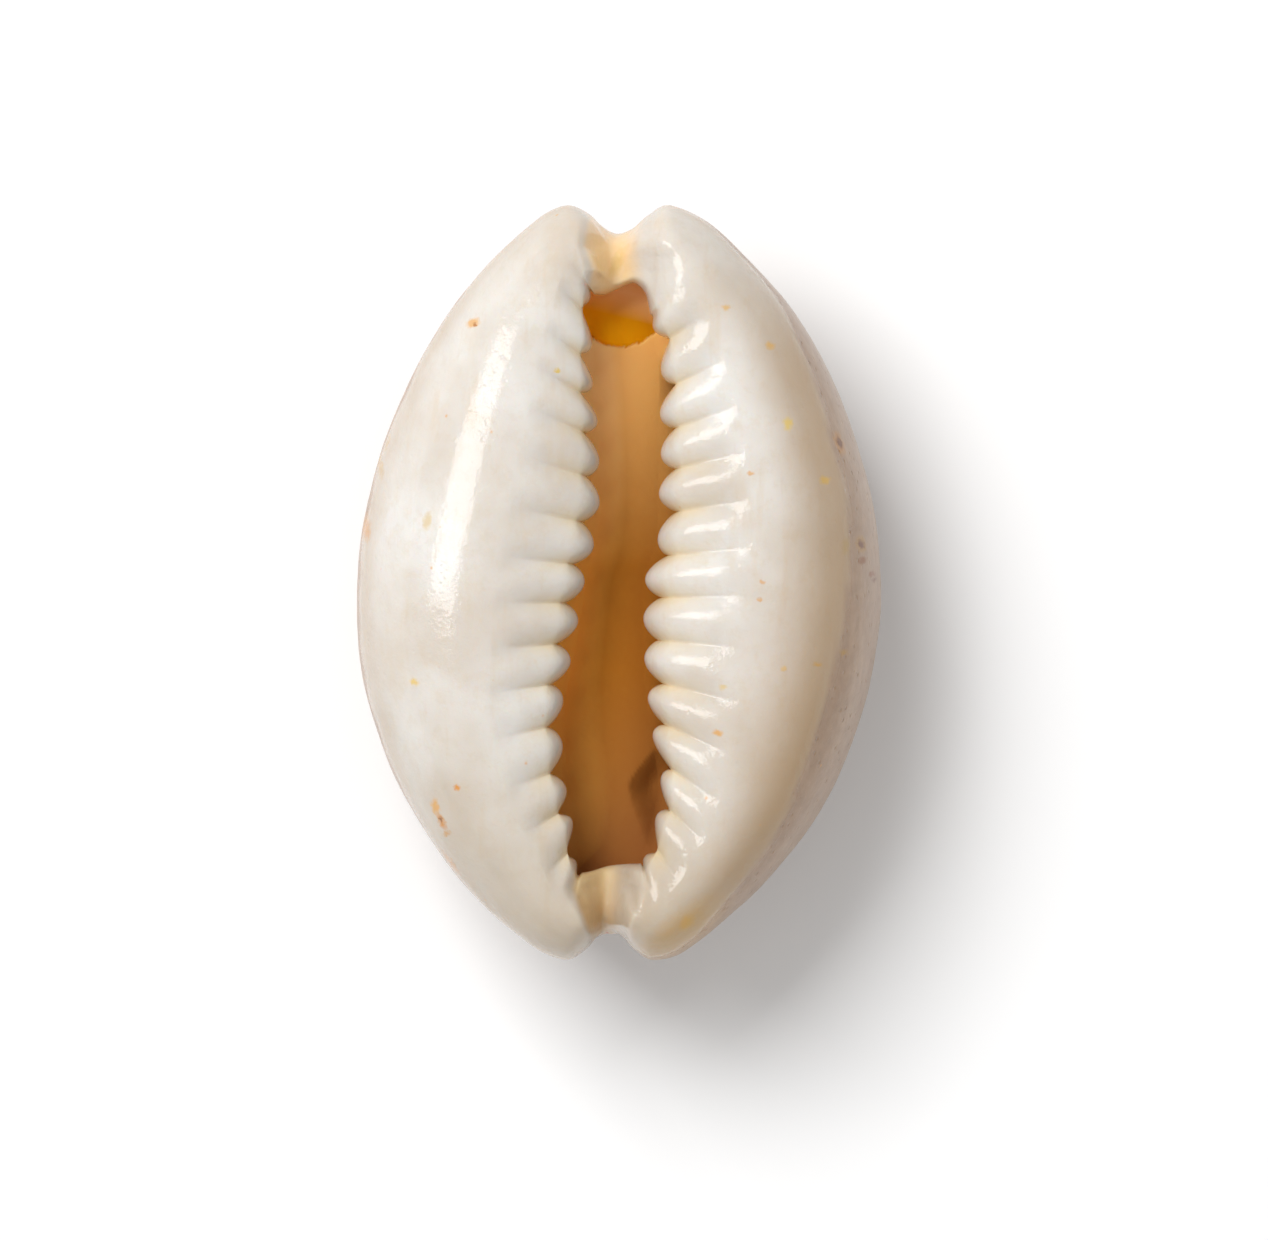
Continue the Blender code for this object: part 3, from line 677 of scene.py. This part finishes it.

    # Inside: caramel whorl, paler towards the posterior end. Near the inner lip it is paler still,
    # painted light against the shade of that lip, and towards the outer lip it is darker, painted
    # shade. The amber hollow is partly its own colour and partly a painted glow of light through
    # the thin wall; its far wall thins to tan, and it too is darker towards the outer lip, painted
    # shade. The pocket gets painted shade, darkest at its corner and along its upper side.
    across = fact["across"]
    inner_lip_light = laid_over(tree, linear("#fcb850"), [(y, 0.5, 7.8, 1.0, linear("#ffda9e"))])
    outer_lip_shade = laid_over(tree, linear("#a4641f"), [(y, 0.5, 7.8, 1.0, linear("#e2ac62"))])
    slant = add(tree, "ShaderNodeMath", [(0, x), (1, 0.25), (2, y)], operation="MULTIPLY_ADD")
    # Amber: partly the hollow's own colour and partly a painted glow of light through the thin wall.
    # It is darker towards the outer lip, painted shade.
    amber = laid_over(tree, linear("#ffb804"), [
        (across, 0.30, 0.95, 1.0, linear("#c78404")),
        (slant.outputs[0], 8.45, 9.3, 1.0, linear("#ffd298")),
    ])
    inside = laid_over(tree, linear("#b67623"), [
        (y, 0.5, 7.8, 1.0, linear("#e8b26c")),
        # Painted light near the inner lip and painted shade towards the outer lip.
        (across, 0.45, 0.0, 1.0, inner_lip_light),
        (across, 0.30, 0.95, 1.0, outer_lip_shade),
        (y, -2.8, -8.0, 0.58, linear("#8f5e3a")),
        (fact["recess"], 0.0, 1.0, 1.0, amber),
        # Painted shade in the pocket.
        (fact["pocket"], 0.0, 1.0, 0.92, linear("#5c2e06")),
    ])
    colour = laid_over(tree, outside, [(fact["inside"], 0.0, 1.0, 1.0, inside)])

    # Relief too fine for the mesh: pits where the glaze is thin, and its slight orange peel.
    # The pits lie 0.4 mm apart and the peel is 0.4 mm across, both coarser than on a real shell
    # so that they show.
    pits = add(tree, "ShaderNodeTexVoronoi", [("Vector", mm), ("Scale", 2.6)])
    pit = add(tree, "ShaderNodeMapRange", [
        ("Value", pits.outputs["Distance"]), ("From Min", 0.04), ("From Max", 0.22),
    ])
    pit_strength = add(tree, "ShaderNodeMapRange", [
        ("Value", fact["bare"]), ("To Min", 0.10), ("To Max", 0.50),
    ])
    peel = add(tree, "ShaderNodeTexNoise", [
        ("Vector", mm), ("Scale", 2.5), ("Detail", 4.0), ("Roughness", 0.6),
    ])
    bump = add(tree, "ShaderNodeBump", [
        ("Height", pit.outputs[0]), ("Strength", pit_strength.outputs[0]), ("Distance", 0.06 * MM),
    ])
    bump = add(tree, "ShaderNodeBump", [
        ("Height", peel.outputs["Fac"]), ("Strength", 0.22), ("Distance", 0.10 * MM),
        ("Normal", bump.outputs[0]),
    ])

    # The glaze is near a mirror, the flank is duller, and the whorl is matt with little shine.
    rough = add(tree, "ShaderNodeMapRange", [
        ("Value", fact["bare"]), ("To Min", 0.08), ("To Max", 0.28),
    ])
    rough = add(tree, "ShaderNodeMapRange", [
        ("Value", fact["inside"]), ("To Min", rough.outputs[0]), ("To Max", 0.7),
    ])
    shine = add(tree, "ShaderNodeMapRange", [
        ("Value", fact["inside"]), ("To Min", 0.5), ("To Max", 0.12),
    ])
    tree.links.new(colour, surface.inputs["Base Color"])
    tree.links.new(rough.outputs[0], surface.inputs["Roughness"])
    tree.links.new(shine.outputs[0], surface.inputs["Specular IOR Level"])
    tree.links.new(bump.outputs[0], surface.inputs["Normal"])
    surface.inputs["IOR"].default_value = 1.55
    surface.inputs["Subsurface Weight"].default_value = 0.35
    surface.inputs["Subsurface Radius"].default_value = (1.0, 0.6, 0.35)
    surface.inputs["Subsurface Scale"].default_value = 1.2 * MM
    return material


shell_skin.data.materials.append(glazed_aragonite())
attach(shell_skin, "root")
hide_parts("shell")


# The table: a plain sheet of matt white paper that the shell lies on, large enough to fill the
# view to its edges. It is stage, not part of the shell.

TABLE_HALF_SIZE = 1.0


def make_table():
    """A flat square sheet, in metres."""
    mesh = bpy.data.meshes.new("table")
    corners = [(-1, -1, 0), (1, -1, 0), (1, 1, 0), (-1, 1, 0)]
    mesh.from_pydata((np.array(corners) * TABLE_HALF_SIZE).tolist(), [], [(0, 1, 2, 3)])
    table = bpy.data.objects.new("table", mesh)
    bpy.context.scene.collection.objects.link(table)
    material = bpy.data.materials.new("matte white paper")
    material.use_nodes = True
    surface = material.node_tree.nodes["Principled BSDF"]
    surface.inputs["Base Color"].default_value = linear("#f4f4f4")
    surface.inputs["Roughness"].default_value = 0.9
    mesh.materials.append(material)
    return table


make_table()


# Studio light: a lamp at the left, seen only as the long highlights that the glaze mirrors, a
# higher soft lamp at the upper left that gives the light and the shadow, and an even white room
# around them.

def lamp(name, heading, tilt, distance, width, height, power):
    """An area lamp that faces the shell. Heading is counted from +X towards +Y and tilt from
    straight up, both in degrees. Distance and sizes are in metres, and power in watts."""
    light = bpy.data.lights.new(name, "AREA")
    light.shape = "RECTANGLE"
    light.size, light.size_y = width, height
    light.energy = power
    holder = bpy.data.objects.new(name, light)
    heading, tilt = np.radians(heading), np.radians(tilt)
    holder.location = (
        distance * np.sin(tilt) * np.cos(heading),
        distance * np.sin(tilt) * np.sin(heading),
        distance * np.cos(tilt),
    )
    holder.rotation_euler = (0.0, tilt, heading)
    bpy.context.scene.collection.objects.link(holder)
    return holder


window_lamp = lamp(
    "window_lamp", heading=163.0, tilt=45.0, distance=0.30, width=0.155, height=0.11, power=0.23,
)
window_lamp.visible_diffuse = False
high_lamp = lamp(
    "high_lamp", heading=133.0, tilt=30.0, distance=0.30, width=0.14, height=0.14, power=0.74,
)
high_lamp.visible_glossy = False

room = bpy.data.worlds.new("white room")
room.use_nodes = True
room.node_tree.nodes["Background"].inputs["Color"].default_value = (1.0, 1.0, 1.0, 1.0)
room.node_tree.nodes["Background"].inputs["Strength"].default_value = 0.56
bpy.context.scene.world = room
bpy.context.scene.view_settings.view_transform = "Standard"


# Camera: straight down on the aperture, upright in the frame. The frame is as wide as stated
# in the plane of the shell's side line, where its outline is seen.

CAMERA_X = 0.50
CAMERA_Y = -1.18
CAMERA_HEIGHT = 300.0
SIDE_PLANE = 6.5
FRAME_WIDTH = 40.45
SENSOR = 36.0

camera_data = bpy.data.cameras.new("camera")
camera_data.sensor_width = SENSOR
camera_data.lens = SENSOR * (CAMERA_HEIGHT - SIDE_PLANE) / FRAME_WIDTH
camera_data.clip_start = 0.01
camera = bpy.data.objects.new("camera", camera_data)
camera.location = (CAMERA_X * MM, CAMERA_Y * MM, CAMERA_HEIGHT * MM)
bpy.context.scene.collection.objects.link(camera)
bpy.context.scene.camera = camera
